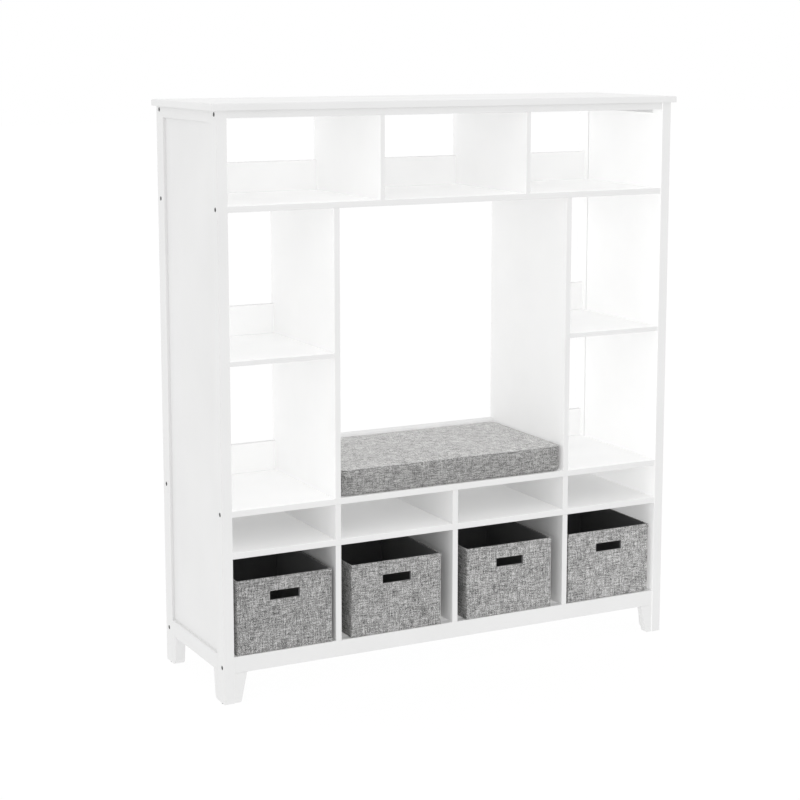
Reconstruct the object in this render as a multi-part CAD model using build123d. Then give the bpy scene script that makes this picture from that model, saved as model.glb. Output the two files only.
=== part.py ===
from build123d import *

import os

# Hall tree storage bench. Millimetres, +Z up, front towards -Y, +X to the right from the front.
# The origin is on the floor, below the middle of the overall box.

# Overall size
WIDTH = 1290.3
DEPTH = 398.8
HEIGHT = 1437.6

# Top panel
TOP_THICK = 16.0
TOP_SIDE_OVERHANG = 12.5
TOP_FRONT_OVERHANG = 6.3
TOP_EDGE_RADIUS = 3.0

# Side frames: two posts, two rails and a panel set in from both faces
POST_THICK = 26.0
POST_WIDE = 44.0
SIDE_TOP_RAIL_HIGH = 27.6
SIDE_BOTTOM_RAIL_Z = 77.0
SIDE_BOTTOM_RAIL_HIGH = 40.8
PANEL_SET_IN = 7.0
PANEL_INNER_STEP = 2.0

# Boards
BOARD_THICK = 15.0
SUB_TOP_THICK = 18.0
COLUMN_SHELF_THICK = 12.0
TOP_DIVIDER_THICK = 12.0
BOARD_SET_BACK = 2.0
BOARD_REAR_GAP = 12.5
EDGE_BEVEL = 0.6
TONGUE_ROOT = 1.0

# Undersides of the boards
BOTTOM_BOARD_Z = 102.8
LOWER_SHELF_Z = 359.4
BENCH_Z = 461.8
COLUMN_SHELF_Z = 824.5
UPPER_SHELF_Z = 1186.0

# Dividers, from the middle of the cabinet
SIDE_DIVIDER_X = 327.15
TOP_DIVIDER_X = 204.45

# Back rails, aprons and thin back
RAIL_HIGH = 76.0
APRON_HIGH = 41.0
APRON_THICK = 20.0
BACK_PANEL_THICK = 3.0

# Feet
GLIDE_HIGH = 3.0
GLIDE_RADIUS = 11.0
FOOT_BLOCK_WIDE = 24.0
FOOT_BLOCK_TAPER = 9.5
FOOT_BLOCK_RADIUS = 12.0
BRACKET_WIDE = 34.0
BRACKET_TAPER = 16.0
BRACKET_RADIUS = 5.0

# Side screws: from the outside of each post into the end of a board
SCREW_RADIUS = 3.5
SCREW_LENGTH = 60.0
SCREW_HEAD_RADIUS = 5.5
SCREW_HEAD_DEEP = 4.0
SCREW_HEAD_SUNK = 0.4
HEX_ACROSS_FLATS = 4.0
HEX_DEEP = 2.5
FRONT_SCREW_SET_IN = 14.0
APRON_SCREW_Z = 92.0

# Dowels
DOWEL_RADIUS = 3.0
DOWEL_LENGTH = 30.0
DOWEL_FROM_FRONT = 31.0
DOWEL_FROM_REAR = 36.0
SHALLOW_DOWEL_DEEP = 5.5
SHALLOW_DOWEL_LENGTH = 25.0
DIVIDER_DOWEL_DEEP = 18.0
DIVIDER_DOWEL_SET_IN = 70.0

# Screws for the top panel and the thin back
TOP_SCREW_RADIUS = 2.0
TOP_SCREW_HEAD_RADIUS = 4.0
TOP_SCREW_DEEP = 11.0
TOP_SCREW_SPACING = 420.0
BACK_SCREW_RADIUS = 1.5
BACK_SCREW_HEAD_RADIUS = 3.5
BACK_SCREW_HEAD_HIGH = 1.2
BACK_SCREW_LENGTH = 14.0
BACK_SCREW_OUTER_X = 560.0

# Cushion
CUSHION_CLEAR = 2.2
CUSHION_DEEP = 357.0
CUSHION_HIGH = 67.0
CUSHION_SET_BACK = 5.0
CUSHION_CORNER = 22.0
CUSHION_EDGE = 5.0
CUSHION_SKIN = 1.5
SOFT_GAP = 0.3

# Bins
BIN_WIDE = 253.0
BIN_DEEP = 330.0
BIN_HIGH = 185.0
BIN_WALL = 5.0
BIN_FLOOR = 4.0
BIN_CORNER = 3.0
BIN_BASE_THICK = 3.0
BIN_BASE_CLEAR = 1.0
BIN_SLOT_WIDE = 79.0
BIN_SLOT_HIGH = 23.0
BIN_SLOT_CORNER = 2.0
BIN_SLOT_Z = 139.0

# Name, centre in X and set back from the posts' front: the bins stand slightly unevenly
BINS = (
    ("bin_far_left", -471.0, 4.0),
    ("bin_mid_left", -165.6, 4.0),
    ("bin_mid_right", 160.4, 3.0),
    ("bin_far_right", 466.4, 6.0),
)

# Derived places
POST_OUT_X = WIDTH / 2 - TOP_SIDE_OVERHANG
POST_IN_X = POST_OUT_X - POST_THICK
FRONT_Y = -DEPTH / 2 + TOP_FRONT_OVERHANG
REAR_Y = DEPTH / 2
BOARD_FRONT_Y = FRONT_Y + BOARD_SET_BACK
BOARD_REAR_Y = REAR_Y - BOARD_REAR_GAP
APRON_BACK_Y = BOARD_FRONT_Y + APRON_THICK
RAIL_FRONT_Y = BOARD_REAR_Y - BOARD_THICK
PANEL_FRONT_Y = FRONT_Y + POST_WIDE
PANEL_REAR_Y = REAR_Y - POST_WIDE
PANEL_OUT_X = POST_OUT_X - PANEL_SET_IN
PANEL_IN_X = POST_IN_X + PANEL_INNER_STEP
FRAME_TOP_Z = HEIGHT - TOP_THICK
SUB_TOP_Z = FRAME_TOP_Z - SUB_TOP_THICK
SIDE_TOP_RAIL_Z = FRAME_TOP_Z - SIDE_TOP_RAIL_HIGH
PANEL_LOW_Z = SIDE_BOTTOM_RAIL_Z + SIDE_BOTTOM_RAIL_HIGH
BOTTOM_TOP_Z = BOTTOM_BOARD_Z + BOARD_THICK
LOWER_SHELF_TOP_Z = LOWER_SHELF_Z + BOARD_THICK
BENCH_TOP_Z = BENCH_Z + BOARD_THICK
COLUMN_SHELF_TOP_Z = COLUMN_SHELF_Z + COLUMN_SHELF_THICK
UPPER_SHELF_TOP_Z = UPPER_SHELF_Z + BOARD_THICK
APRON_Z = BOTTOM_TOP_Z - APRON_HIGH
SEAT_HALF_X = SIDE_DIVIDER_X - BOARD_THICK / 2
COLUMN_IN_X = SIDE_DIVIDER_X + BOARD_THICK / 2
CUBBY_HALF_X = TOP_DIVIDER_X - TOP_DIVIDER_THICK / 2
CUBBY_IN_X = TOP_DIVIDER_X + TOP_DIVIDER_THICK / 2
SCREW_FACE_X = POST_OUT_X - SCREW_HEAD_SUNK

SIDES = (("left", -1), ("right", 1))


def box(x0, x1, y0, y1, z0, z1):
    """A box between two corners."""
    size = (abs(x1 - x0), abs(y1 - y0), abs(z1 - z0))
    middle = ((x0 + x1) / 2, (y0 + y1) / 2, (z0 + z1) / 2)
    return Pos(*middle) * Box(*size)


def bevel(solid, axis):
    """Bevel the edges that run along one axis."""
    return chamfer(solid.edges().filter_by(axis), EDGE_BEVEL)


def rod_x(x0, x1, y, z, radius):
    """A cylinder along X."""
    return Pos((x0 + x1) / 2, y, z) * Rot(0, 90, 0) * Cylinder(radius, abs(x1 - x0))


def rod_y(x, y0, y1, z, radius):
    """A cylinder along Y."""
    return Pos(x, (y0 + y1) / 2, z) * Rot(90, 0, 0) * Cylinder(radius, abs(y1 - y0))


def rod_z(x, y, z0, z1, radius):
    """A cylinder along Z."""
    return Pos(x, y, (z0 + z1) / 2) * Cylinder(radius, abs(z1 - z0))


# ---- Back rails: X span and underside of each


def back_rails():
    """Name, X span and underside of each low rail at the rear edge of a board."""
    rails = [
        ("cubby_rail_middle", -CUBBY_HALF_X, CUBBY_HALF_X, UPPER_SHELF_TOP_Z),
        ("seat_rail", -SEAT_HALF_X, SEAT_HALF_X, BENCH_TOP_Z),
    ]
    for name, side in SIDES:
        cubby = sorted((side * CUBBY_IN_X, side * POST_IN_X))
        column = sorted((side * COLUMN_IN_X, side * POST_IN_X))
        rails.append((f"cubby_rail_{name}", *cubby, UPPER_SHELF_TOP_Z))
        rails.append((f"column_rail_upper_{name}", *column, COLUMN_SHELF_TOP_Z))
        rails.append((f"column_rail_lower_{name}", *column, BENCH_TOP_Z))
    return rails


# ---- Fasteners


def side_screw_places():
    """Y and Z of the screws in one side: four levels, front and rear."""
    levels = [SUB_TOP_Z + SUB_TOP_THICK / 2, APRON_SCREW_Z]
    levels += [z + BOARD_THICK / 2 for z in (UPPER_SHELF_Z, BENCH_Z)]
    ends = (FRONT_Y + FRONT_SCREW_SET_IN, BOARD_REAR_Y - BOARD_THICK / 2)
    return [(y, z) for z in levels for y in ends]


def screw_stem(y, z):
    """Shank and countersunk head of a right-hand side screw, with no socket."""
    shank = rod_x(SCREW_FACE_X - SCREW_LENGTH, SCREW_FACE_X - SCREW_HEAD_DEEP, y, z, SCREW_RADIUS)
    cone = Cone(SCREW_RADIUS, SCREW_HEAD_RADIUS, SCREW_HEAD_DEEP)
    return shank + Pos(SCREW_FACE_X - SCREW_HEAD_DEEP / 2, y, z) * Rot(0, 90, 0) * cone


def side_screw(side, y, z):
    """A countersunk screw with a hexagon socket."""
    hexagon = RegularPolygon(HEX_ACROSS_FLATS / 2, 6, major_radius=False)
    socket = Pos(SCREW_FACE_X - HEX_DEEP, y, z) * Rot(0, 90, 0) * extrude(hexagon, HEX_DEEP)
    screw = screw_stem(y, z) - socket
    return screw if side > 0 else mirror(screw, Plane.YZ)


def side_screw_hole(side, y, z):
    """The hole that a side screw fills, open at the outside of the post."""
    mouth = rod_x(SCREW_FACE_X, POST_OUT_X + 1, y, z, SCREW_HEAD_RADIUS)
    hole = screw_stem(y, z) + mouth
    return hole if side > 0 else mirror(hole, Plane.YZ)


def frame_dowels():
    """Dowels half in the posts and half in the ends of the boards."""
    middles = [z + BOARD_THICK / 2 for z in (BOTTOM_BOARD_Z, LOWER_SHELF_Z, BENCH_Z, UPPER_SHELF_Z)]
    middles += [SUB_TOP_Z + SUB_TOP_THICK / 2, COLUMN_SHELF_Z + COLUMN_SHELF_THICK / 2]
    x0, x1 = POST_IN_X - DOWEL_LENGTH / 2, POST_IN_X + DOWEL_LENGTH / 2
    return [
        rod_x(side * x0, side * x1, y, z, DOWEL_RADIUS)
        for _, side in SIDES
        for z in middles
        for y in (FRONT_Y + DOWEL_FROM_FRONT, REAR_Y - DOWEL_FROM_REAR)
    ]


def shallow_dowel(x, into, y, z):
    """A dowel from a part's end at x, a short way into its neighbour on the 'into' side."""
    tip = x + into * SHALLOW_DOWEL_DEEP
    return rod_x(tip, tip - into * SHALLOW_DOWEL_LENGTH, y, z, DOWEL_RADIUS)


def end_dowels():
    """Dowels in the ends of the back rails and the inner ends of the column shelves."""
    dowels = []
    for _, x0, x1, z in back_rails():
        for x, into in ((x0, -1), (x1, 1)):
            dowels.append(shallow_dowel(x, into, (RAIL_FRONT_Y + BOARD_REAR_Y) / 2, z + RAIL_HIGH / 2))
    for _, side in SIDES:
        for y in (FRONT_Y + DOWEL_FROM_FRONT, REAR_Y - DOWEL_FROM_REAR):
            z = COLUMN_SHELF_Z + COLUMN_SHELF_THICK / 2
            dowels.append(shallow_dowel(side * COLUMN_IN_X, -side, y, z))
    return dowels


def divider_dowels():
    """Upright dowels, front and rear, in every joint between a divider and a board."""
    deep = DIVIDER_DOWEL_DEEP
    blind = DOWEL_LENGTH - deep
    spans = []
    for x in (-SIDE_DIVIDER_X, 0, SIDE_DIVIDER_X):
        spans.append((x, BOTTOM_TOP_Z - blind, BOTTOM_TOP_Z + deep))
        spans.append((x, LOWER_SHELF_Z - deep, LOWER_SHELF_TOP_Z + deep))
    spans.append((0, BENCH_Z - deep, BENCH_Z + blind))
    for _, side in SIDES:
        spans.append((side * SIDE_DIVIDER_X, BENCH_Z - deep, BENCH_TOP_Z + deep))
        spans.append((side * SIDE_DIVIDER_X, UPPER_SHELF_Z - deep, UPPER_SHELF_Z + blind))
        spans.append((side * TOP_DIVIDER_X, UPPER_SHELF_TOP_Z - blind, UPPER_SHELF_TOP_Z + deep))
        spans.append((side * TOP_DIVIDER_X, SUB_TOP_Z - deep, SUB_TOP_Z + blind))
    ends = (FRONT_Y + DIVIDER_DOWEL_SET_IN, REAR_Y - DIVIDER_DOWEL_SET_IN)
    return [rod_z(x, y, z0, z1, DOWEL_RADIUS) for x, z0, z1 in spans for y in ends]


def top_screws():
    """Countersunk screws up through the sub-top board into the top panel."""
    cone_high = TOP_SCREW_HEAD_RADIUS - TOP_SCREW_RADIUS
    cone = Cone(TOP_SCREW_HEAD_RADIUS, TOP_SCREW_RADIUS, cone_high)
    screws = []
    for x in (-TOP_SCREW_SPACING, 0, TOP_SCREW_SPACING):
        for y in (FRONT_Y + DIVIDER_DOWEL_SET_IN, REAR_Y - DIVIDER_DOWEL_SET_IN):
            low = SUB_TOP_Z + cone_high
            shank = rod_z(x, y, low, FRAME_TOP_Z + TOP_SCREW_DEEP, TOP_SCREW_RADIUS)
            screws.append(shank + Pos(x, y, low - cone_high / 2) * cone)
    return screws


def back_screw_places():
    """X and Z of the screws that hold the thin back to the boards' rear edges."""
    levels = [z + BOARD_THICK / 2 for z in (BOTTOM_BOARD_Z, LOWER_SHELF_Z, BENCH_Z)]
    half_bay = SIDE_DIVIDER_X / 2
    spread = (-BACK_SCREW_OUTER_X, -half_bay, half_bay, BACK_SCREW_OUTER_X)
    return [(x, z) for z in levels for x in spread]


def back_screw_shank(x, z):
    """The shank of a thin-back screw, as far as the back's rear face."""
    back = BOARD_REAR_Y + BACK_PANEL_THICK
    return rod_y(x, back - BACK_SCREW_LENGTH, back, z, BACK_SCREW_RADIUS)


def back_screw(x, z):
    """A small pan-head screw."""
    back = BOARD_REAR_Y + BACK_PANEL_THICK
    head = rod_y(x, back, back + BACK_SCREW_HEAD_HIGH, z, BACK_SCREW_HEAD_RADIUS)
    return back_screw_shank(x, z) + head


def drilled(solid, holes):
    """A solid less the holes whose boxes meet its own box."""
    a = solid.bounding_box()
    for hole in holes:
        b = hole.bounding_box()
        clear_x = b.min.X >= a.max.X or b.max.X <= a.min.X
        clear_y = b.min.Y >= a.max.Y or b.max.Y <= a.min.Y
        clear_z = b.min.Z >= a.max.Z or b.max.Z <= a.min.Z
        if not (clear_x or clear_y or clear_z):
            solid = solid - hole
    return solid


# ---- Side frames and feet


def post(side, end):
    """A full-height post, standing on its glide."""
    y0, y1 = (FRONT_Y, PANEL_FRONT_Y) if end == "front" else (PANEL_REAR_Y, REAR_Y)
    return bevel(box(side * POST_IN_X, side * POST_OUT_X, y0, y1, GLIDE_HIGH, FRAME_TOP_Z), Axis.Z)


def side_rail(side, z0, z1):
    """A rail between the two posts of a side frame."""
    solid = box(side * POST_IN_X, side * POST_OUT_X, PANEL_FRONT_Y, PANEL_REAR_Y, z0, z1)
    return bevel(solid, Axis.Y)


def side_panel(side):
    """The panel set into a side frame."""
    x0, x1 = side * PANEL_IN_X, side * PANEL_OUT_X
    return box(x0, x1, PANEL_FRONT_Y, PANEL_REAR_Y, PANEL_LOW_Z, SIDE_TOP_RAIL_Z)


def foot_block(side, end):
    """The block below a side frame's bottom rail, tapered and rounded at its toe."""
    wide = POST_WIDE + FOOT_BLOCK_WIDE
    outline = Polyline(
        (POST_WIDE, GLIDE_HIGH),
        (wide - FOOT_BLOCK_TAPER, GLIDE_HIGH),
        (wide, SIDE_BOTTOM_RAIL_Z),
        (POST_WIDE, SIDE_BOTTOM_RAIL_Z),
        close=True,
    )
    face = make_face(outline)
    toe = face.vertices().sort_by(Axis.Y)[:2].sort_by(Axis.X)[-1]
    face = fillet(toe, FOOT_BLOCK_RADIUS)
    # The outline's first axis runs inward from the post's outer edge.
    inward = 1 if end == "front" else -1
    origin = (side * POST_OUT_X, FRONT_Y if end == "front" else REAR_Y, 0)
    plane = Plane(origin=origin, x_dir=(0, inward, 0), z_dir=(inward, 0, 0))
    return extrude(plane * face, -side * inward * POST_THICK)


def foot_bracket(side):
    """The bracket below the front apron, tapered towards the floor."""
    wide = POST_IN_X - BRACKET_WIDE
    outline = Polyline(
        (POST_IN_X, GLIDE_HIGH),
        (POST_IN_X, APRON_Z),
        (wide, APRON_Z),
        (wide + BRACKET_TAPER, GLIDE_HIGH),
        close=True,
    )
    face = make_face(outline)
    toe = face.vertices().sort_by(Axis.Y)[:2].sort_by(Axis.X)[0]
    face = fillet(toe, BRACKET_RADIUS)
    plane = Plane(origin=(0, BOARD_FRONT_Y, 0), x_dir=(1, 0, 0), z_dir=(0, -1, 0))
    bracket = extrude(plane * face, -APRON_THICK)
    return bracket if side > 0 else mirror(bracket, Plane.YZ)


def side_frame_parts():
    """Posts, rails, panels, foot blocks and foot brackets."""
    parts = {}
    for name, side in SIDES:
        for end in ("front", "rear"):
            parts[f"post_{end}_{name}"] = post(side, end)
            parts[f"foot_block_{end}_{name}"] = foot_block(side, end)
        parts[f"side_top_rail_{name}"] = side_rail(side, SIDE_TOP_RAIL_Z, FRAME_TOP_Z)
        parts[f"side_bottom_rail_{name}"] = side_rail(side, SIDE_BOTTOM_RAIL_Z, PANEL_LOW_Z)
        parts[f"side_panel_{name}"] = side_panel(side)
        parts[f"foot_bracket_{name}"] = foot_bracket(side)
    return parts


# ---- Boards, dividers and rails


def board(z, thick, x0=-POST_IN_X, x1=POST_IN_X, tongues=(-1, 1)):
    """A shelf board. Its tongues fill the step between the posts and the side panel."""
    solid = bevel(box(x0, x1, BOARD_FRONT_Y, BOARD_REAR_Y, z, z + thick), Axis.X)
    for side in tongues:
        root, tip = side * (POST_IN_X - TONGUE_ROOT), side * PANEL_IN_X
        solid = solid + box(root, tip, PANEL_FRONT_Y, PANEL_REAR_Y, z, z + thick)
    return solid


def divider(x, thick, z0, z1):
    """An upright board between two levels."""
    half = thick / 2
    return bevel(box(x - half, x + half, BOARD_FRONT_Y, BOARD_REAR_Y, z0, z1), Axis.Z)


def top_panel():
    """The top, with its upper front and side edges rounded."""
    top = box(-WIDTH / 2, WIDTH / 2, -DEPTH / 2, REAR_Y, FRAME_TOP_Z, HEIGHT)
    rims = [e for e in top.edges().group_by(Axis.Z)[-1] if e.center().Y < REAR_Y - 1]
    return fillet(rims, TOP_EDGE_RADIUS)


def board_parts():
    """Top, shelves, bench and bottom board, with their aprons."""
    parts = {
        "top_panel": top_panel(),
        "sub_top_board": board(SUB_TOP_Z, SUB_TOP_THICK, tongues=()),
        "upper_shelf": board(UPPER_SHELF_Z, BOARD_THICK),
        "bench_board": board(BENCH_Z, BOARD_THICK),
        "lower_shelf": board(LOWER_SHELF_Z, BOARD_THICK),
    }
    for name, side in SIDES:
        x0, x1 = sorted((side * COLUMN_IN_X, side * POST_IN_X))
        shelf = board(COLUMN_SHELF_Z, COLUMN_SHELF_THICK, x0, x1, tongues=(side,))
        parts[f"column_shelf_{name}"] = shelf
    span = (-POST_IN_X, POST_IN_X)
    parts["bottom_board"] = box(*span, APRON_BACK_Y, RAIL_FRONT_Y, BOTTOM_BOARD_Z, BOTTOM_TOP_Z)
    apron = box(*span, BOARD_FRONT_Y, APRON_BACK_Y, APRON_Z, BOTTOM_TOP_Z)
    front_edges = apron.edges().filter_by(Axis.X).group_by(Axis.Y)[0]
    parts["front_apron"] = chamfer(front_edges, EDGE_BEVEL)
    parts["rear_apron"] = box(*span, RAIL_FRONT_Y, BOARD_REAR_Y, APRON_Z, BOTTOM_TOP_Z)
    back = BOARD_REAR_Y + BACK_PANEL_THICK
    parts["lower_back_panel"] = box(*span, BOARD_REAR_Y, back, BOTTOM_BOARD_Z, BENCH_TOP_Z)
    return parts


def divider_parts():
    """Every upright between two boards, and the back rails."""
    parts = {}
    for name, x in (("left", -SIDE_DIVIDER_X), ("middle", 0), ("right", SIDE_DIVIDER_X)):
        parts[f"bin_divider_{name}"] = divider(x, BOARD_THICK, BOTTOM_TOP_Z, LOWER_SHELF_Z)
        parts[f"shelf_divider_{name}"] = divider(x, BOARD_THICK, LOWER_SHELF_TOP_Z, BENCH_Z)
    for name, side in SIDES:
        seat = divider(side * SIDE_DIVIDER_X, BOARD_THICK, BENCH_TOP_Z, UPPER_SHELF_Z)
        parts[f"seat_divider_{name}"] = seat
        top = divider(side * TOP_DIVIDER_X, TOP_DIVIDER_THICK, UPPER_SHELF_TOP_Z, SUB_TOP_Z)
        parts[f"top_divider_{name}"] = top
    for name, x0, x1, z in back_rails():
        rail = box(x0, x1, RAIL_FRONT_Y, BOARD_REAR_Y, z, z + RAIL_HIGH)
        parts[name] = bevel(rail, Axis.X)
    return parts


# ---- Cushion and bins


def cushion_form(inset):
    """The cushion's closed form, smaller all round by an inset."""
    half = SEAT_HALF_X - CUSHION_CLEAR - inset
    y0 = FRONT_Y + CUSHION_SET_BACK + inset
    y1 = FRONT_Y + CUSHION_SET_BACK + CUSHION_DEEP - inset
    z0 = BENCH_TOP_Z + SOFT_GAP + inset
    z1 = BENCH_TOP_Z + SOFT_GAP + CUSHION_HIGH - inset
    solid = box(-half, half, y0, y1, z0, z1)
    solid = fillet(solid.edges().filter_by(Axis.Z), CUSHION_CORNER - inset)
    rims = solid.faces().filter_by(Axis.Z).edges()
    return fillet(rims, CUSHION_EDGE - inset)


def bin_body(x, set_back):
    """A fabric bin: four walls and a floor, with a hand slot through the front wall."""
    x0, x1 = x - BIN_WIDE / 2, x + BIN_WIDE / 2
    y0 = FRONT_Y + set_back
    y1 = y0 + BIN_DEEP
    z0 = BOTTOM_TOP_Z + SOFT_GAP
    z1 = z0 + BIN_HIGH
    outer = box(x0, x1, y0, y1, z0, z1)
    outer = fillet(outer.edges().filter_by(Axis.Z), BIN_CORNER)
    wall = BIN_WALL
    inner = box(x0 + wall, x1 - wall, y0 + wall, y1 - wall, z0 + BIN_FLOOR, z1 + 1)
    slot = RectangleRounded(BIN_SLOT_WIDE, BIN_SLOT_HIGH, BIN_SLOT_CORNER)
    plane = Plane(origin=(x, y0 - 1, z0 + BIN_SLOT_Z), x_dir=(1, 0, 0), z_dir=(0, 1, 0))
    return outer - inner - extrude(plane * slot, wall + 2)


def bin_base(x, set_back):
    """The loose stiff board on a bin's floor."""
    gap = BIN_WALL + BIN_BASE_CLEAR
    half = BIN_WIDE / 2 - gap
    y0 = FRONT_Y + set_back
    z0 = BOTTOM_TOP_Z + SOFT_GAP + BIN_FLOOR
    return box(x - half, x + half, y0 + gap, y0 + BIN_DEEP - gap, z0, z0 + BIN_BASE_THICK)


# ---- Whole object


def build():
    """Every sub-part by its name."""
    dowels = frame_dowels() + end_dowels() + divider_dowels()
    screws_up = top_screws()
    places = [(side, y, z) for _, side in SIDES for y, z in side_screw_places()]
    holes = dowels + screws_up + [side_screw_hole(*place) for place in places]
    holes += [back_screw_shank(x, z) for x, z in back_screw_places()]

    wood = {**side_frame_parts(), **board_parts(), **divider_parts()}
    parts = {name: drilled(solid, holes) for name, solid in wood.items()}

    parts["dowels"] = Compound(children=dowels)
    parts["top_screws"] = Compound(children=screws_up)
    parts["side_screws"] = Compound(children=[side_screw(*place) for place in places])
    parts["back_screws"] = Compound(children=[back_screw(x, z) for x, z in back_screw_places()])
    glides = []
    for _, side in SIDES:
        for y in (FRONT_Y + POST_WIDE / 2, REAR_Y - POST_WIDE / 2):
            x = side * (POST_OUT_X - POST_THICK / 2)
            glides.append(rod_z(x, y, 0, GLIDE_HIGH, GLIDE_RADIUS))
    parts["foot_glides"] = Compound(children=glides)

    parts["cushion_foam"] = cushion_form(CUSHION_SKIN)
    parts["cushion_cover"] = cushion_form(0) - cushion_form(CUSHION_SKIN)
    for name, x, set_back in BINS:
        parts[name] = bin_body(x, set_back)
        parts[name + "_base"] = bin_base(x, set_back)
    return parts


os.makedirs("parts", exist_ok=True)
for node, shape in build().items():
    shape.label = node
    export_step(shape, f"parts/{node}.step")
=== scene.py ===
import math
import random

import bmesh
import bpy
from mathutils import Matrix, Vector, noise
from mathutils.bvhtree import BVHTree
from mathutils.kdtree import KDTree


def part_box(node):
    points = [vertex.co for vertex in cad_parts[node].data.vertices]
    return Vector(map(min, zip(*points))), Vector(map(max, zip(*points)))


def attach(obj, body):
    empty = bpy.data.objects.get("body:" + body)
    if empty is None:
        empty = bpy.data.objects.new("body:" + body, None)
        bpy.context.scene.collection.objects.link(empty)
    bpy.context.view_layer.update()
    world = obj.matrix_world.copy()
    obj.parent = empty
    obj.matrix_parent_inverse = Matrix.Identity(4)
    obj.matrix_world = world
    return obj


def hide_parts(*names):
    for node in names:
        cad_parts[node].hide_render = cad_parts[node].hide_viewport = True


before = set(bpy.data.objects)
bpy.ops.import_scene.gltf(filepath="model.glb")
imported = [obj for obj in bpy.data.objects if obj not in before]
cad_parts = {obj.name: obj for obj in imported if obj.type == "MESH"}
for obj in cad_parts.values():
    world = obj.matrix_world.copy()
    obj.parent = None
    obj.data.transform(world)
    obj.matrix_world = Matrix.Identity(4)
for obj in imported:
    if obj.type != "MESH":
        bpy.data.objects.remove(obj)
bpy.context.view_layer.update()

MM = 0.001

# Camera: where it stands, and how it looks at the cabinet
CAMERA_PLACE = (-2.2598, -4.2361, 1.583)
CAMERA_AZIMUTH = 27.46
CAMERA_PITCH_DOWN = 8.94
CAMERA_LENS = 84.9
CAMERA_SENSOR = 36.0
CAMERA_SHIFT_Y = -0.08

# Cushion
CUSHION_CORNER = 20 * MM
CUSHION_FOOT_INSET = 3.2 * MM
CUSHION_START_INSET = 0.8 * MM
CUSHION_CELL = 9 * MM
CUSHION_EDGE_CELLS = [0.0, 2.5 * MM, 6 * MM, 12 * MM]
CUSHION_PRESSURE = 4.0
CUSHION_FRAMES = 20
CUSHION_SIDE_CAP = 1.7 * MM
CUSHION_TOP_CAP = 5.5 * MM
CUSHION_SWELL = 1.0 * MM
SEAM_IN = 3.0 * MM
SEAM_GROOVE_WIDE = 1.5 * MM
SEAM_GROOVE_DEEP = 0.9 * MM
SEAM_CREASE = 0.55
SEAM_POINT_STEP = 3 * MM
FOAM_SWELLS_PER_METRE = 7
STITCH_PITCH = 4.2 * MM
STITCH_LONG = 3.0 * MM
THREAD_RADIUS = 0.32 * MM

# Bins
BIN_WALL = 4.6 * MM
BIN_FLOOR = 3.6 * MM
BIN_ROUND = 1.2 * MM
BIN_CORNER = 2.6 * MM
BIN_CELL = 9.5 * MM
BIN_HEM = 10 * MM
BIN_HEM_PROUD = 0.7 * MM
BIN_HEM_STITCH = 3 * MM
BIN_SLOT_WIDE = 79 * MM
BIN_SLOT_LEVELS = (127.5 * MM, 150.5 * MM)
BIN_BULGE = 1.3 * MM
BIN_FLAT_SHARE = 0.35
BIN_RIPPLE = 0.35 * MM
BIN_RIPPLES_PER_METRE = 14
BIN_SAG = 0.5 * MM
BIN_SAGS_PER_METRE = 9
BIN_FIRST_SEED = 11

# Weaves: one thread's pitch, and how fast tones change from yarn to yarn and along a yarn
BIN_PITCH = 1.6 * MM
CUSHION_PITCH = 1.4 * MM
YARN_RATES = (0.60, 0.055)
FLECK_RATES = (3.71, 0.55)

# Floor
FLOOR_HALF = 30.0
FLOOR_GREY = 0.07
FLOOR_GLOW = 0.94


# ---- Node and mesh helpers


def new_material(name):
    """An empty node material, its tree and its shader."""
    material = bpy.data.materials.new(name)
    material.use_nodes = True
    tree = material.node_tree
    tree.nodes.clear()
    output = tree.nodes.new("ShaderNodeOutputMaterial")
    shader = tree.nodes.new("ShaderNodeBsdfPrincipled")
    tree.links.new(shader.outputs["BSDF"], output.inputs["Surface"])
    return material, tree, shader


def put(tree, socket, value):
    """Link a socket to another, or set its value."""
    if isinstance(value, bpy.types.NodeSocket):
        tree.links.new(value, socket)
    else:
        socket.default_value = value


def math_node(tree, operation, *values):
    """A maths node's result."""
    made = tree.nodes.new("ShaderNodeMath")
    made.operation = operation
    for socket, value in zip(made.inputs, values):
        put(tree, socket, value)
    return made.outputs[0]


def vector_math(tree, operation, *values):
    """A vector maths node's result."""
    made = tree.nodes.new("ShaderNodeVectorMath")
    made.operation = operation
    for socket, value in zip(made.inputs, values):
        put(tree, socket, value)
    return made.outputs[0]


def noise_node(tree, vector, scale, detail=2.0, roughness=0.5):
    """A noise texture's value."""
    made = tree.nodes.new("ShaderNodeTexNoise")
    put(tree, made.inputs["Vector"], vector)
    made.inputs["Scale"].default_value = scale
    made.inputs["Detail"].default_value = detail
    made.inputs["Roughness"].default_value = roughness
    return made.outputs["Fac"]


def ramp(tree, factor, stops):
    """A colour ramp through grey or coloured stops."""
    made = tree.nodes.new("ShaderNodeValToRGB")
    put(tree, made.inputs["Fac"], factor)
    elements = made.color_ramp.elements
    while len(elements) < len(stops):
        elements.new(0.5)
    for element, (place, colour) in zip(elements, stops):
        element.position = place
        element.color = (*colour, 1.0)
    return made.outputs["Color"]


def combine(tree, x, y, z):
    """A vector from three values."""
    made = tree.nodes.new("ShaderNodeCombineXYZ")
    for socket, value in zip(made.inputs, (x, y, z)):
        put(tree, socket, value)
    return made.outputs[0]


def axes(tree, vector):
    """A vector's first two values."""
    made = tree.nodes.new("ShaderNodeSeparateXYZ")
    tree.links.new(vector, made.inputs[0])
    return made.outputs[0], made.outputs[1]


def map_range(tree, value, low, high):
    """A value from 0 to 1 taken to low to high."""
    made = tree.nodes.new("ShaderNodeMapRange")
    put(tree, made.inputs["Value"], value)
    made.inputs["To Min"].default_value = low
    made.inputs["To Max"].default_value = high
    return made.outputs["Result"]


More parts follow.
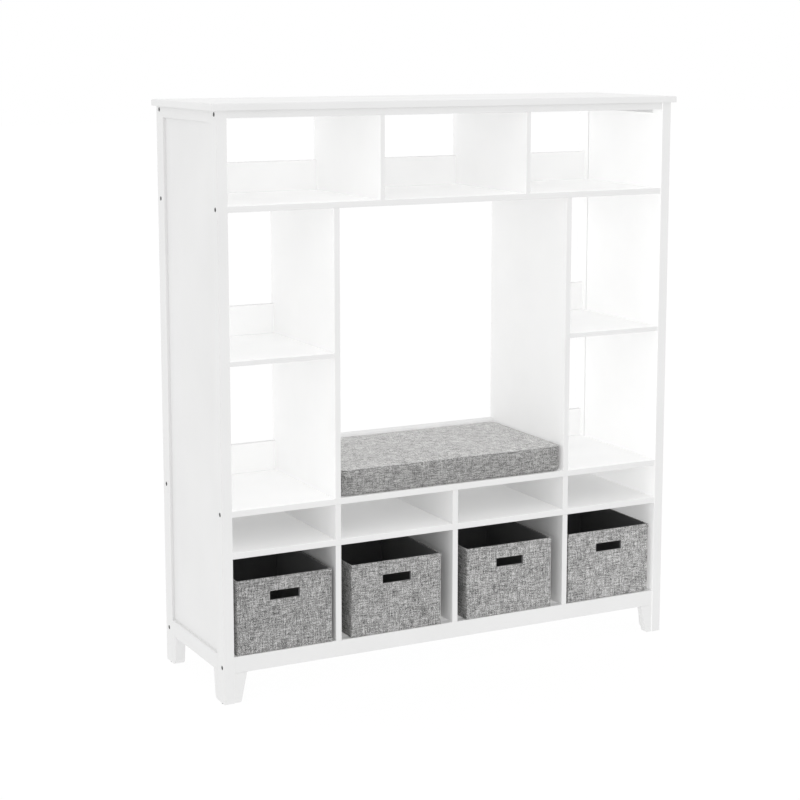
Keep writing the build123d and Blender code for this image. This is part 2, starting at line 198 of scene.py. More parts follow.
def bump(tree, shader, height, distance, strength=1.0):
    """Give the shader a bump from a height."""
    made = tree.nodes.new("ShaderNodeBump")
    made.inputs["Distance"].default_value = distance
    made.inputs["Strength"].default_value = strength
    put(tree, made.inputs["Height"], height)
    tree.links.new(made.outputs["Normal"], shader.inputs["Normal"])


def object_point(tree):
    """The surface point, in metres in the object's own frame."""
    return tree.nodes.new("ShaderNodeTexCoord").outputs["Object"]


def mesh_object(name, bm, materials):
    """A new object from a bmesh."""
    mesh = bpy.data.meshes.new(name)
    bm.to_mesh(mesh)
    bm.free()
    for material in materials:
        mesh.materials.append(material)
    made = bpy.data.objects.new(name, mesh)
    bpy.context.scene.collection.objects.link(made)
    return made


def smooth(piece, angle=40):
    """Smooth shading, kept sharp across edges steeper than an angle."""
    piece.data.shade_smooth()
    piece.data.set_sharp_from_angle(angle=math.radians(angle))


# ---- Materials


def paint_material():
    """Satin white paint, sprayed on board: a fine orange peel and a hardly visible cloud of tone."""
    material, tree, shader = new_material("white_satin_paint")
    point = object_point(tree)
    cloud = noise_node(tree, point, 5.0, 3.0)
    tone = ramp(tree, cloud, [(0.3, (0.800, 0.800, 0.798)), (0.7, (0.830, 0.830, 0.828))])
    tree.links.new(tone, shader.inputs["Base Color"])
    peel = noise_node(tree, point, 420.0, 3.0)
    rough = noise_node(tree, point, 30.0, 4.0)
    put(tree, shader.inputs["Roughness"], map_range(tree, rough, 0.40, 0.54))
    shader.inputs["Specular IOR Level"].default_value = 0.4
    bump(tree, shader, peel, 0.00006, 0.6)
    return material


def steel_material(name, colour, roughness):
    """Turned or pressed steel with a fine grain."""
    material, tree, shader = new_material(name)
    point = object_point(tree)
    grain = noise_node(tree, point, 900.0, 4.0)
    tone = ramp(tree, grain, [(0.3, tuple(0.8 * c for c in colour)), (0.7, colour)])
    tree.links.new(tone, shader.inputs["Base Color"])
    put(tree, shader.inputs["Roughness"], map_range(tree, grain, roughness, roughness + 0.2))
    shader.inputs["Metallic"].default_value = 1.0
    bump(tree, shader, grain, 0.00004, 0.5)
    return material


def plastic_material():
    """Moulded dark plastic."""
    material, tree, shader = new_material("dark_moulded_plastic")
    point = object_point(tree)
    grain = noise_node(tree, point, 1400.0, 3.0)
    tone = ramp(tree, grain, [(0.3, (0.03, 0.03, 0.032)), (0.7, (0.045, 0.045, 0.047))])
    tree.links.new(tone, shader.inputs["Base Color"])
    put(tree, shader.inputs["Roughness"], map_range(tree, grain, 0.45, 0.65))
    bump(tree, shader, grain, 0.00005, 0.5)
    return material


def beech_material():
    """Raw beech with a straight grain and short flecks."""
    material, tree, shader = new_material("raw_beech")
    point = object_point(tree)
    stretched = vector_math(tree, "MULTIPLY", point, (60.0, 900.0, 900.0))
    grain = noise_node(tree, stretched, 1.0, 4.0)
    tone = ramp(tree, grain, [(0.3, (0.42, 0.27, 0.15)), (0.7, (0.62, 0.44, 0.27))])
    tree.links.new(tone, shader.inputs["Base Color"])
    shader.inputs["Roughness"].default_value = 0.7
    bump(tree, shader, grain, 0.0001, 0.5)
    return material


def lining_material():
    """Black non-woven lining: matted fibres with a faint press pattern."""
    material, tree, shader = new_material("black_lining")
    point = object_point(tree)
    fibres = noise_node(tree, point, 900.0, 5.0, 0.7)
    sheen = noise_node(tree, point, 14.0, 3.0)
    mixed = math_node(tree, "MULTIPLY", fibres, map_range(tree, sheen, 0.75, 1.25))
    tone = ramp(tree, mixed, [(0.25, (0.07, 0.07, 0.071)), (0.75, (0.155, 0.155, 0.158))])
    tree.links.new(tone, shader.inputs["Base Color"])
    shader.inputs["Roughness"].default_value = 0.6
    shader.inputs["Sheen Weight"].default_value = 0.5
    shader.inputs["Sheen Roughness"].default_value = 0.4
    bump(tree, shader, fibres, 0.0003, 0.6)
    return material


def weave_material(name, pitch, stops, fleck_size, warp_size, weft_size, seed):
    """A plain weave of melange yarn. The UV map is in metres along the cloth.

    warp_size and weft_size are how far a whole yarn's tone varies, and fleck_size how far its
    short flecks do."""
    material, tree, shader = new_material(name)
    uv = tree.nodes.new("ShaderNodeUVMap")
    uv.uv_map = "UVMap"
    wander = noise_node(tree, uv.outputs[0], 60.0, 2.0)
    shift = math_node(tree, "MULTIPLY", math_node(tree, "SUBTRACT", wander, 0.5), 0.8 * pitch)
    moved = vector_math(tree, "ADD", uv.outputs[0], combine(tree, shift, shift, 0.0))
    threads = vector_math(tree, "MULTIPLY", moved, (1 / pitch, 1 / pitch, 0.0))
    cell = vector_math(tree, "FLOOR", threads)
    inside = vector_math(tree, "FRACTION", threads)
    u, v = axes(tree, threads)
    cell_u, cell_v = axes(tree, cell)
    in_u, in_v = axes(tree, inside)

    # Which yarn is on top at this crossing: warp at 0, weft at 1
    over = math_node(tree, "FLOORED_MODULO", math_node(tree, "ADD", cell_u, cell_v), 2.0)

    def on_top(warp, weft):
        """The value of the yarn that is on top."""
        pick = tree.nodes.new("ShaderNodeMix")
        for socket, value in zip((0, 2, 3), (over, warp, weft)):
            put(tree, pick.inputs[socket], value)
        return pick.outputs[0]

    def signed(value, size):
        """A value from 0 to 1 taken to plus or minus half a size."""
        return math_node(tree, "MULTIPLY", math_node(tree, "SUBTRACT", value, 0.5), size)

    def yarn(across, along, rates, offset):
        """A tone that changes from yarn to yarn, and along each yarn at its own rate."""
        place = combine(
            tree,
            math_node(tree, "MULTIPLY", across, rates[0]),
            math_node(tree, "MULTIPLY", along, rates[1]),
            seed + offset,
        )
        return noise_node(tree, place, 1.0, 2.0, 0.5)

    warp = signed(yarn(cell_u, v, YARN_RATES, 0.0), warp_size)
    weft = signed(yarn(cell_v, u, YARN_RATES, 40.0), weft_size)
    fleck = on_top(yarn(cell_u, v, FLECK_RATES, 80.0), yarn(cell_v, u, FLECK_RATES, 120.0))
    cloud = noise_node(tree, uv.outputs[0], 14.0, 3.0)
    tone = math_node(tree, "ADD", 0.5, on_top(warp, weft))
    tone = math_node(tree, "ADD", tone, signed(fleck, fleck_size))
    tone = math_node(tree, "ADD", tone, signed(cloud, 0.25))

    def round_over(value):
        """A round yarn's height across its width."""
        centred = math_node(tree, "SUBTRACT", math_node(tree, "MULTIPLY", value, 2.0), 1.0)
        return math_node(tree, "SUBTRACT", 1.0, math_node(tree, "MULTIPLY", centred, centred))

    # A float is round across, and dives a little at both ends
    across = math_node(tree, "MAXIMUM", round_over(on_top(in_u, in_v)), 0.0)
    along = map_range(tree, round_over(on_top(in_v, in_u)), 0.45, 1.0)
    height = math_node(tree, "MULTIPLY", math_node(tree, "POWER", across, 0.5), along)
    hair = noise_node(tree, uv.outputs[0], 2600.0, 3.0)
    # Painted shade: the colour is darker where the yarns dip, standing for the shadow in the gaps between
    # threads; the hair noise added next is random tone
    tone_and_painted_gap_shade = math_node(tree, "ADD", tone, signed(height, 0.34))
    tone_and_painted_gap_shade = math_node(tree, "ADD", tone_and_painted_gap_shade, signed(hair, 0.40))
    height = math_node(tree, "ADD", height, math_node(tree, "MULTIPLY", hair, 0.25))
    tree.links.new(ramp(tree, tone_and_painted_gap_shade, stops), shader.inputs["Base Color"])
    shader.inputs["Roughness"].default_value = 0.92
    shader.inputs["Specular IOR Level"].default_value = 0.15
    shader.inputs["Sheen Weight"].default_value = 0.1
    bump(tree, shader, height, 0.25 * pitch, 0.5)
    return material


def thread_material():
    """Twisted grey sewing thread."""
    material, tree, shader = new_material("grey_thread")
    point = object_point(tree)
    twist = noise_node(tree, point, 1800.0, 2.0)
    tone = ramp(tree, twist, [(0.3, (0.09, 0.09, 0.09)), (0.7, (0.16, 0.16, 0.158))])
    tree.links.new(tone, shader.inputs["Base Color"])
    shader.inputs["Roughness"].default_value = 0.8
    bump(tree, shader, twist, 0.0001, 0.5)
    return material


PAINT = paint_material()
LINING = lining_material()
BLACK_STEEL = steel_material("black_oxide_steel", (0.13, 0.13, 0.133), 0.4)
ZINC = steel_material("bright_zinc", (0.62, 0.63, 0.65), 0.25)
PLASTIC = plastic_material()
BEECH = beech_material()
BIN_CLOTH = weave_material(
    "bin_heather_weave",
    BIN_PITCH,
    [(0.0, (0.02, 0.02, 0.02)), (0.5, (0.185, 0.184, 0.182)), (1.0, (0.50, 0.498, 0.494))],
    fleck_size=2.3,
    warp_size=2.2,
    weft_size=2.2,
    seed=7.0,
)
CUSHION_CLOTH = weave_material(
    "cushion_melange_weave",
    CUSHION_PITCH,
    [(0.0, (0.05, 0.05, 0.05)), (0.5, (0.255, 0.253, 0.249)), (1.0, (0.60, 0.597, 0.590))],
    fleck_size=2.4,
    warp_size=1.5,
    weft_size=2.6,
    seed=23.0,
)
THREAD = thread_material()

CAD_MATERIALS = {
    "side_screws": BLACK_STEEL,
    "top_screws": ZINC,
    "back_screws": ZINC,
    "foot_glides": PLASTIC,
    "dowels": BEECH,
}
for name, cad_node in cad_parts.items():
    material = CAD_MATERIALS.get(name, PAINT)
    if name.endswith("_base"):
        material = LINING
    for place in cad_node.material_slots:
        place.material = material


# ---- Cushion


def spread(half, step, near):
    """Places from minus half to half, a step apart, with closer ones near both ends."""
    inner = half - near[-1]
    count = max(2, round(2 * inner / step))
    middle = [-inner + 2 * inner * k / count for k in range(1, count)]
    ends = [half - distance for distance in near]
    return [-place for place in ends] + middle + ends[::-1]


def rounded_plan(x, y, half_x, half_y, radius):
    """A point of a rectangle, moved so that the rectangle's corners become round."""
    corner_x, corner_y = half_x - radius, half_y - radius
    u = (abs(x) - corner_x) / radius
    v = (abs(y) - corner_y) / radius
    if u <= 0 or v <= 0:
        return x, y
    across = corner_x + radius * u * math.sqrt(1 - v * v / 2)
    along = corner_y + radius * v * math.sqrt(1 - u * u / 2)
    return math.copysign(across, x), math.copysign(along, y)


def cushion_blank(low, high):
    """A closed block of even squares, and which of its points are on the seams or underneath."""
    middle = (low + high) / 2
    half = (high - low) / 2 - Vector((CUSHION_START_INSET,) * 3)
    xs, ys, zs = (spread(h, CUSHION_CELL, CUSHION_EDGE_CELLS) for h in half)
    bm = bmesh.new()
    made = {}

    def point(i, j, k):
        """The point at a place of the grid, made once."""
        if (i, j, k) not in made:
            x, y = rounded_plan(xs[i], ys[j], half.x, half.y, CUSHION_CORNER)
            tuck = CUSHION_FOOT_INSET * max(0.0, 1 - (zs[k] + half.z) / (2 * SEAM_IN)) ** 2
            made[i, j, k] = bm.verts.new(
                middle + Vector((x * (1 - tuck / half.x), y * (1 - tuck / half.y), zs[k]))
            )
        return made[i, j, k]

    def square(*places):
        """A face between four places of the grid."""
        bm.faces.new([point(*place) for place in places])

    last_x, last_y, last_z = len(xs) - 1, len(ys) - 1, len(zs) - 1
    for i in range(last_x):
        for j in range(last_y):
            for k in (0, last_z):
                square((i, j, k), (i + 1, j, k), (i + 1, j + 1, k), (i, j + 1, k))
    for k in range(last_z):
        for i in range(last_x):
            for j in (0, last_y):
                square((i, j, k), (i + 1, j, k), (i + 1, j, k + 1), (i, j, k + 1))
        for j in range(last_y):
            for i in (0, last_x):
                square((i, j, k), (i, j + 1, k), (i, j + 1, k + 1), (i, j, k + 1))
    bmesh.ops.recalc_face_normals(bm, faces=bm.faces)
    bm.verts.index_update()
    held = [
        vertex.index for (i, j, k), vertex in made.items()
        if k == 0 or (k == last_z and (i in (0, last_x) or j in (0, last_y)))
    ]
    crease = bm.edges.layers.float.new("crease_edge")
    seam = {
        vertex for (i, j, k), vertex in made.items()
        if k in (0, last_z) and (i in (0, last_x) or j in (0, last_y))
    }
    for edge in bm.edges:
        if edge.verts[0] in seam and edge.verts[1] in seam:
            edge[crease] = SEAM_CREASE
    return mesh_object("seat_cushion", bm, []), held


def apply_modifiers(piece):
    """Replace a piece's mesh with what its modifiers make of it."""
    graph = bpy.context.evaluated_depsgraph_get()
    made = bpy.data.meshes.new_from_object(piece.evaluated_get(graph))
    piece.modifiers.clear()
    piece.data = made


def inflate(piece, held):
    """Blow the cover up as cloth, with some points held, and return each point's move."""
    before = [v.co.copy() for v in piece.data.vertices]
    pins = piece.vertex_groups.new(name="pins")
    pins.add(held, 1.0, "REPLACE")
    cloth = piece.modifiers.new("cloth", "CLOTH")
    settings = cloth.settings
    settings.quality = 5
    settings.vertex_group_mass = "pins"
    settings.use_pressure = True
    settings.uniform_pressure_force = CUSHION_PRESSURE
    settings.effector_weights.gravity = 0.0
    scene = bpy.context.scene
    for number in range(1, CUSHION_FRAMES + 1):
        scene.frame_set(number)
    graph = bpy.context.evaluated_depsgraph_get()
    after = [v.co.copy() for v in piece.evaluated_get(graph).data.vertices]
    piece.modifiers.clear()
    piece.vertex_groups.clear()
    scene.frame_set(1)
    return [b - a for a, b in zip(before, after)]


def eased(move, most):
    """A move that comes up to a limit gently."""
    return most * math.tanh(move / most)


def settle(piece, moves, low, high):
    """Move the points no further than the foam lets them, with its own long shallow swells on top."""
    middle = (low + high) / 2
    for vertex, move in zip(piece.data.vertices, moves):
        share = max(0.0, (vertex.co.z - middle.z) / (high.z - middle.z))
        place = FOAM_SWELLS_PER_METRE * vertex.co
        swell = CUSHION_SWELL * noise.noise(Vector((place.x, place.y, 3.1)))
        vertex.co += Vector((
            eased(move.x, CUSHION_SIDE_CAP),
            eased(move.y, CUSHION_SIDE_CAP),
            eased(move.z, CUSHION_TOP_CAP) * share + swell * share ** 8 * min(1.0, abs(move.z) / MM),
        ))


def seam_path(low, high, z):
    """Points round the cushion, a few millimetres apart, where two panels are sewn together."""
    middle = (low + high) / 2
    half_x, half_y = (high.x - low.x) / 2, (high.y - low.y) / 2
    corners = []
    for turn, (cx, cy) in enumerate(((1, 1), (-1, 1), (-1, -1), (1, -1))):
        for k in range(11):
            angle = math.pi / 2 * (turn + k / 10)
            corners.append((
                cx * (half_x - CUSHION_CORNER) + CUSHION_CORNER * math.cos(angle),
                cy * (half_y - CUSHION_CORNER) + CUSHION_CORNER * math.sin(angle),
            ))
    dense = []
    for k, (x, y) in enumerate(corners):
        nx, ny = corners[(k + 1) % len(corners)]
        count = max(1, round(math.hypot(nx - x, ny - y) / SEAM_POINT_STEP))
        for step in range(count):
            t = step / count
            dense.append(Vector((middle.x + x + (nx - x) * t, middle.y + y + (ny - y) * t, z)))
    return dense


def press_seam(piece, path, wide, deep):
    """Press a groove into the piece along a path, with puckers."""
    tree = KDTree(len(path))
    for index, point in enumerate(path):
        tree.insert(point, index)
    tree.balance()
    normals = [v.normal.copy() for v in piece.data.vertices]
    for vertex, normal in zip(piece.data.vertices, normals):
        _, index, distance = tree.find(vertex.co)
        if distance < 3 * wide:
            pucker = 0.8 + 0.35 * math.sin(index * 0.9) * math.sin(index * 0.37 + 1)
            vertex.co -= normal * deep * pucker * math.exp(-((distance / wide) ** 2))


def box_uv(piece):
    """UVs in metres, from the side of the box that each face looks at."""
    layer = piece.data.uv_layers.new(name="UVMap")
    for polygon in piece.data.polygons:
        n = polygon.normal
        for loop_index in polygon.loop_indices:
            co = piece.data.vertices[piece.data.loops[loop_index].vertex_index].co
            if abs(n.z) > max(abs(n.x), abs(n.y)):
                layer.data[loop_index].uv = (co.x, co.y)
            elif abs(n.x) > abs(n.y):
                layer.data[loop_index].uv = (co.y + 1.0, co.z)
            else:
                layer.data[loop_index].uv = (co.x, co.z + 2.0)


def surface_of(piece):
    """A tree for finding the nearest point of a piece's surface."""
    return BVHTree.FromPolygons(
        [v.co for v in piece.data.vertices], [p.vertices[:] for p in piece.data.polygons]
    )


def add_stitch(bm, start, end, normal, sides=5, rings=4):
    """One stitch of thread: a short arc that comes out of the cloth and goes back in."""
    along = end - start
    side = normal.cross(along).normalized()
    loops = []
    for k in range(rings + 1):
        t = k / rings
        centre = start + along * t + normal * THREAD_RADIUS * (2.0 * math.sin(math.pi * t) - 0.9)
        loops.append([
            bm.verts.new(centre + THREAD_RADIUS * (math.cos(a) * side + math.sin(a) * normal))
            for a in (2 * math.pi * s / sides for s in range(sides))
        ])
    for one, two in zip(loops, loops[1:]):
        for s in range(sides):
            t = (s + 1) % sides
            bm.faces.new((one[s], one[t], two[t], two[s])).smooth = True
    bm.faces.new(loops[0][::-1])
    bm.faces.new(loops[-1])


def stitches_along(name, path, surface):
    """A row of stitches round a closed path, laid on a surface."""
    bm = bmesh.new()
    count = len(path)
    lengths = [0.0]
    for k in range(count):
        lengths.append(lengths[-1] + (path[(k + 1) % count] - path[k]).length)
    total = lengths[-1]

    def at(distance):
        """The point a distance along the path."""
        place = distance % total
        k = max(i for i in range(count) if lengths[i] <= place)
        share = (place - lengths[k]) / (lengths[k + 1] - lengths[k])
        return path[k].lerp(path[(k + 1) % count], share)

    stitch_count = int(total / STITCH_PITCH)
    for number in range(stitch_count):
        travelled = number * total / stitch_count
        start, normal, _, _ = surface.find_nearest(at(travelled))
        end, _, _, _ = surface.find_nearest(at(travelled + STITCH_LONG))
        add_stitch(bm, start, end, normal)
    bmesh.ops.recalc_face_normals(bm, faces=bm.faces)
    return mesh_object(name, bm, [THREAD])


def make_cushion():
    """The seat cushion: a foam pad in a boxed cover, sewn along its top and bottom edges."""
    low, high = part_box("cushion_cover")
    cushion, held = cushion_blank(low, high)
    settle(cushion, inflate(cushion, held), low, high)
    subdivide = cushion.modifiers.new("finer", "SUBSURF")
    subdivide.levels = 1
    apply_modifiers(cushion)
    surface = surface_of(cushion)
    for z in (high.z - SEAM_IN, low.z + SEAM_IN):
        on_surface = [surface.find_nearest(p)[0] for p in seam_path(low, high, z)]
        press_seam(cushion, on_surface, SEAM_GROOVE_WIDE, SEAM_GROOVE_DEEP)
    cushion.data.materials.clear()
    cushion.data.materials.append(CUSHION_CLOTH)
    cushion.data.shade_smooth()
    box_uv(cushion)
    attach(cushion, "seat_cushion")
    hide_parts("cushion_cover", "cushion_foam")
    surface = surface_of(cushion)
    for label, z in (("top", high.z - SEAM_IN), ("bottom", low.z + SEAM_IN)):
        stitches = stitches_along(f"cushion_{label}_seam", seam_path(low, high, z), surface)
        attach(stitches, "seat_cushion")
    return cushion


# ---- Bins


def span_points(low, high, step, kept):
    """Even steps from low to high, with the nearest ones moved to some exact places."""
    count = max(2, round((high - low) / step))
    points = [low + (high - low) * k / count for k in range(count + 1)]
    for place in kept:
        nearest = min(range(1, count), key=lambda k: abs(points[k] - place))
        points[nearest] = place
    return sorted(points)


def bin_outline(half_x, half_y, radius, xs, ys):
    """Points round a bin, anticlockwise from the front left corner, with its walls' points at xs and ys."""
    points = []
    corner = [math.pi / 2 * k / 4 for k in range(1, 4)]
    sides = (
        ([(x, -half_y) for x in xs], (half_x - radius, -half_y + radius), -math.pi / 2),
        ([(half_x, y) for y in ys], (half_x - radius, half_y - radius), 0.0),
        ([(-x, half_y) for x in xs], (-half_x + radius, half_y - radius), math.pi / 2),
        ([(-half_x, -y) for y in ys], (-half_x + radius, -half_y + radius), math.pi),
    )
    for straight, (cx, cy), start in sides:
        points += straight
        points += [(cx + radius * math.cos(start + a), cy + radius * math.sin(start + a)) for a in corner]
    return points


def bin_profile(tall):
    """A wall's section, as how far in from the outside and how high, in two parts.

    The cloth goes up the outside, over the proud hem and the rim, and the lining goes down the inside."""
    rise = span_points(BIN_ROUND, tall - BIN_HEM, BIN_CELL, BIN_SLOT_LEVELS)
    near = 0.3 * BIN_ROUND
    foot = [(BIN_ROUND, 0.0), (near, near)]
    outside = [(0.0, z) for z in rise]
    hem = [
        (-0.6 * BIN_HEM_PROUD, tall - BIN_HEM + 0.4 * MM),
        (-BIN_HEM_PROUD, tall - BIN_HEM + 1.2 * MM),
        (-BIN_HEM_PROUD, tall - BIN_HEM / 2),
        (-BIN_HEM_PROUD, tall - BIN_ROUND),
    ]
    rim = [
        (near - BIN_HEM_PROUD, tall - near),
        (BIN_ROUND - BIN_HEM_PROUD, tall),
        (BIN_WALL - BIN_ROUND, tall),
        (BIN_WALL - near, tall - near),
    ]
    inside = [tall - BIN_ROUND] + [z for z in reversed(rise) if z > 1.5 * BIN_FLOOR] + [BIN_FLOOR]
    return foot + outside + hem + rim, [(BIN_WALL, z) for z in inside]


def running_lengths(points):
    """How far along a line of points each one is."""
    lengths = [0.0]
    for (x0, y0), (x1, y1) in zip(points, points[1:]):
        lengths.append(lengths[-1] + math.hypot(x1 - x0, y1 - y0))
    return lengths


def slot_loop(rings, rows, columns):
    """The points round the hand slot, on one face of the front wall."""
    loop = [rings[rows[0]][k] for k in columns[:-1]]
    loop += [rings[row][columns[-1]] for row in rows[:-1]]
    loop += [rings[rows[-1]][k] for k in reversed(columns[1:])]
    return loop + [rings[row][columns[0]] for row in reversed(rows[1:])]


def make_bin(node_name, seed):
    """A fabric bin: cloth over board walls, a sewn hem, a dark lining and a hand slot."""
    rng = random.Random(seed)
    low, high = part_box(node_name)
    middle = (low + high) / 2
    half_x, half_y = (high.x - low.x) / 2, (high.y - low.y) / 2
    tall = high.z - low.z
    bows = [rng.uniform(0.3, 1.0) * BIN_BULGE for _ in range(4)]
    phase = rng.uniform(0, 10)

    def bowed(x, y, z, inset):
        """Where a point of the wall goes: walls bow a little out between corners and floor."""
        share_x = max(0.0, 1 - (x / half_x) ** 2)
        share_y = max(0.0, 1 - (y / half_y) ** 2)
        lift = min(1.0, z / (BIN_FLAT_SHARE * tall))
        place = Vector((x, y, z)) * BIN_RIPPLES_PER_METRE
        ripple = BIN_RIPPLE * noise.noise(place + Vector((phase, 0.0, 0.0)))
        out_x = (bows[0] if x > 0 else bows[1]) * share_y * lift + ripple
        out_y = (bows[2] if y > 0 else 0.6 * bows[3]) * share_x * lift + ripple
        dx = math.copysign(out_x, x) if abs(x) > half_x - BIN_CORNER else 0.0
        dy = math.copysign(out_y, y) if abs(y) > half_y - BIN_CORNER else 0.0
        place = Vector((x, y, 0.0)) * BIN_SAGS_PER_METRE
        sag = BIN_SAG * noise.noise(place + Vector((phase, 0.0, 1.7))) * (z / tall) ** 4
        return Vector((
            middle.x + x * (half_x - inset) / half_x + dx,
            middle.y + y * (half_y - inset) / half_y + dy,
            low.z + z + min(0.0, sag),
        ))

    slot_ends = (-BIN_SLOT_WIDE / 2, BIN_SLOT_WIDE / 2)
    xs = span_points(BIN_CORNER - half_x, half_x - BIN_CORNER, BIN_CELL, slot_ends)
    ys = span_points(BIN_CORNER - half_y, half_y - BIN_CORNER, 1.5 * BIN_CELL, ())
    outline = bin_outline(half_x, half_y, BIN_CORNER, xs, ys)
    count = len(outline)
    cloth, lining = bin_profile(tall)
    profile = cloth + lining
    bm = bmesh.new()
    rings = [[bm.verts.new(bowed(x, y, z, inset)) for x, y in outline] for inset, z in profile]

    # Faces between the rings, with the hand slot left open
    uv = bm.loops.layers.uv.new("UVMap")
    round_length = running_lengths(outline + outline[:1])
    up_length = running_lengths(profile)
    columns = [k for k in range(len(xs)) if abs(xs[k]) < slot_ends[1] + 0.1 * MM]
    for row in range(len(profile) - 1):
        level = (profile[row][1] + profile[row + 1][1]) / 2
        by_slot = BIN_SLOT_LEVELS[0] < level < BIN_SLOT_LEVELS[1]
        for k in range(count):
            if by_slot and columns[0] <= k < columns[-1]:
                continue
            n = (k + 1) % count
            face = bm.faces.new((rings[row][k], rings[row][n], rings[row + 1][n], rings[row + 1][k]))
            face.material_index = 0 if row < len(cloth) - 1 else 1
            corners = ((k, row), (k + 1, row), (k + 1, row + 1), (k, row + 1))
            for loop, (a, b) in zip(face.loops, corners):
                loop[uv].uv = (round_length[a] + seed, up_length[b])

    # The slot's edge, from the outer face of the front wall to the inner one
    beside_slot = [
        row for row, (_, z) in enumerate(profile)
        if BIN_SLOT_LEVELS[0] - 0.1 * MM < z < BIN_SLOT_LEVELS[1] + 0.1 * MM
    ]
    outer = slot_loop(rings, [row for row in beside_slot if row < len(cloth)], columns)
    inner = slot_loop(rings, [row for row in reversed(beside_slot) if row >= len(cloth)], columns)
    slot_faces = [
        bm.faces.new((outer[k - 1], inner[k - 1], inner[k], outer[k])) for k in range(len(outer))
    ]
    for face in slot_faces + [bm.faces.new(rings[-1]), bm.faces.new(rings[0][::-1])]:
        face.material_index = 1
    bmesh.ops.recalc_face_normals(bm, faces=bm.faces)
    piece = mesh_object(node_name + "_cloth", bm, [BIN_CLOTH, LINING])
    smooth(piece, 50)
    body = node_name + "_body"
    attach(piece, body)
    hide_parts(node_name)

    hem_line = [bowed(x, y, tall - BIN_HEM + BIN_HEM_STITCH, -BIN_HEM_PROUD) for x, y in outline]
    stitches = stitches_along(node_name + "_hem", hem_line, surface_of(piece))
    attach(stitches, body)
    return piece


cushion = make_cushion()
BIN_NAMES = ("bin_far_left", "bin_mid_left", "bin_mid_right", "bin_far_right")
bins = [make_bin(name, BIN_FIRST_SEED + number) for number, name in enumerate(BIN_NAMES)]


# ---- Floor, light and camera


def make_floor():
    """A plain pale floor that glows a little, so that shadows on it stay faint."""
    material, tree, shader = new_material("studio_floor")
    shader.inputs["Base Color"].default_value = (FLOOR_GREY, FLOOR_GREY, FLOOR_GREY, 1.0)
    shader.inputs["Roughness"].default_value = 1.0
    shader.inputs["Specular IOR Level"].default_value = 0.0
    shader.inputs["Emission Color"].default_value = (1.0, 1.0, 1.0, 1.0)
    shader.inputs["Emission Strength"].default_value = FLOOR_GLOW
    bm = bmesh.new()
    bm.faces.new([
        bm.verts.new((x * FLOOR_HALF, y * FLOOR_HALF, 0.0))
        for x, y in ((-1, -1), (1, -1), (1, 1), (-1, 1))
    ])
    floor = mesh_object("studio_floor", bm, [material])


def make_world(strength):
    """Even white light from all round."""
    world = bpy.data.worlds.new("studio")
    world.use_nodes = True
    background = world.node_tree.nodes["Background"]
    background.inputs["Color"].default_value = (1.0, 1.0, 1.0, 1.0)
    background.inputs["Strength"].default_value = strength
    bpy.context.scene.world = world


def add_light(name, data, place, direction, receivers):
    """Put a light in the scene. One with receivers reaches only them."""
    light = bpy.data.objects.new(name, data)
    light.location = place
    light.rotation_euler = Vector(direction).to_track_quat("-Z", "Y").to_euler()
    bpy.context.scene.collection.objects.link(light)
    if receivers:
        reached = bpy.data.collections.new(name + "_reach")
        for receiver in receivers:
            reached.objects.link(receiver)
        light.light_linking.receiver_collection = reached


def make_softbox(name, place, target, size, watts, receivers=()):
    """A large soft light."""
    data = bpy.data.lights.new(name, "AREA")
    data.shape = "RECTANGLE"
    data.size, data.size_y = size
    data.energy = watts
    add_light(name, data, place, Vector(target) - Vector(place), receivers)


def make_fill(name, direction, strength, receivers):
    """An even light along a direction, without shadow or gloss."""
    data = bpy.data.lights.new(name, "SUN")
    data.energy = strength
    data.use_shadow = False
    data.specular_factor = 0.0
    add_light(name, data, (0, 0, 3), direction, receivers)


def nodes_starting(*starts):
    """The CAD nodes whose names start with any of some words."""
    return [node for name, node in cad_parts.items() if name.startswith(starts)]


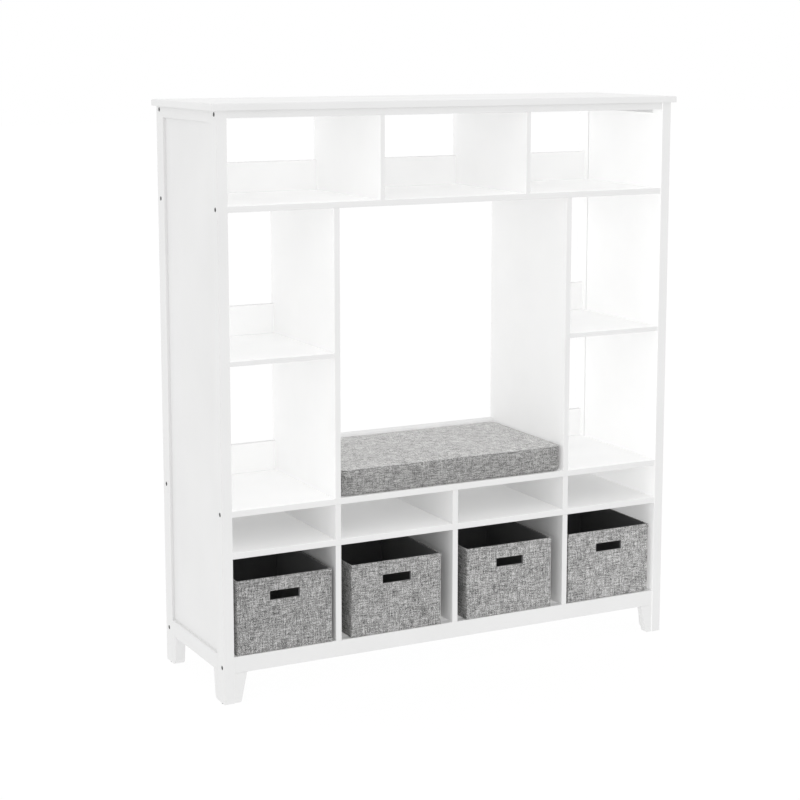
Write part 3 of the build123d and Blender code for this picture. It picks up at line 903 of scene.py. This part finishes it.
def make_camera():
    """The camera, looking a little down at the cabinet from its front left."""
    data = bpy.data.cameras.new("camera")
    data.lens = CAMERA_LENS
    data.sensor_width = CAMERA_SENSOR
    data.shift_y = CAMERA_SHIFT_Y
    data.clip_end = 200.0
    camera = bpy.data.objects.new("camera", data)
    camera.location = CAMERA_PLACE
    tilt, turn = 90 - CAMERA_PITCH_DOWN, -CAMERA_AZIMUTH
    camera.rotation_euler = (math.radians(tilt), 0.0, math.radians(turn))
    bpy.context.scene.collection.objects.link(camera)
    bpy.context.scene.camera = camera


make_floor()
make_world(1.0)
make_softbox("top_softbox", (0.0, 0.3, 4.2), (0.0, 0.0, 0.6), (3.0, 2.4), 8)
make_softbox("bin_softbox", (1.9, -2.4, 0.8), (0.3, -0.2, 0.2), (1.2, 1.2), 55, bins)

# Light bounces many times between the white boards: these even lights stand for the later bounces
LEFT_SIDE = nodes_starting("side_panel_left", "post_front_left", "post_rear_left")
RIGHT_SIDE = nodes_starting("side_panel_right", "post_front_right", "post_rear_right")
MIDDLE_SHELVES = nodes_starting("column_shelf", "bench_board")
LOW_SHELVES = nodes_starting("lower_shelf", "bottom_board")
RAILS = nodes_starting("cubby_rail", "column_rail", "seat_rail", "lower_back_panel")
make_fill("fill_from_left_top", (1, 0, 0), 0.90, nodes_starting("top_divider"))
make_fill("fill_from_left_column", (1, 0, 0), 0.84, nodes_starting("seat_divider_left"))
make_fill("fill_from_left_seat", (1, 0, 0), 0.74, nodes_starting("seat_divider_right"))
make_fill("fill_from_left_shelf", (1, 0, 0), 0.38, nodes_starting("shelf_divider"))
make_fill("fill_from_left_bin", (1, 0, 0), 0.12, nodes_starting("bin_divider"))
make_fill("fill_from_left_end", (1, 0, 0), 1.22, RIGHT_SIDE)
make_fill("fill_from_right", (-1, 0, 0), 0.60, LEFT_SIDE)
make_fill("fill_from_above_top", (0, 0, -1), 1.08, nodes_starting("upper_shelf"))
make_fill("fill_from_above_middle", (0, 0, -1), 0.93, MIDDLE_SHELVES)
make_fill("fill_from_above_low", (0, 0, -1), 0.80, LOW_SHELVES)
make_fill("fill_on_cushion", (0, 0, -1), 2.3, [cushion])
make_fill("fill_from_front", (0, 1, 0), 0.9, RAILS)
make_camera()
bpy.context.scene.view_settings.view_transform = "Standard"
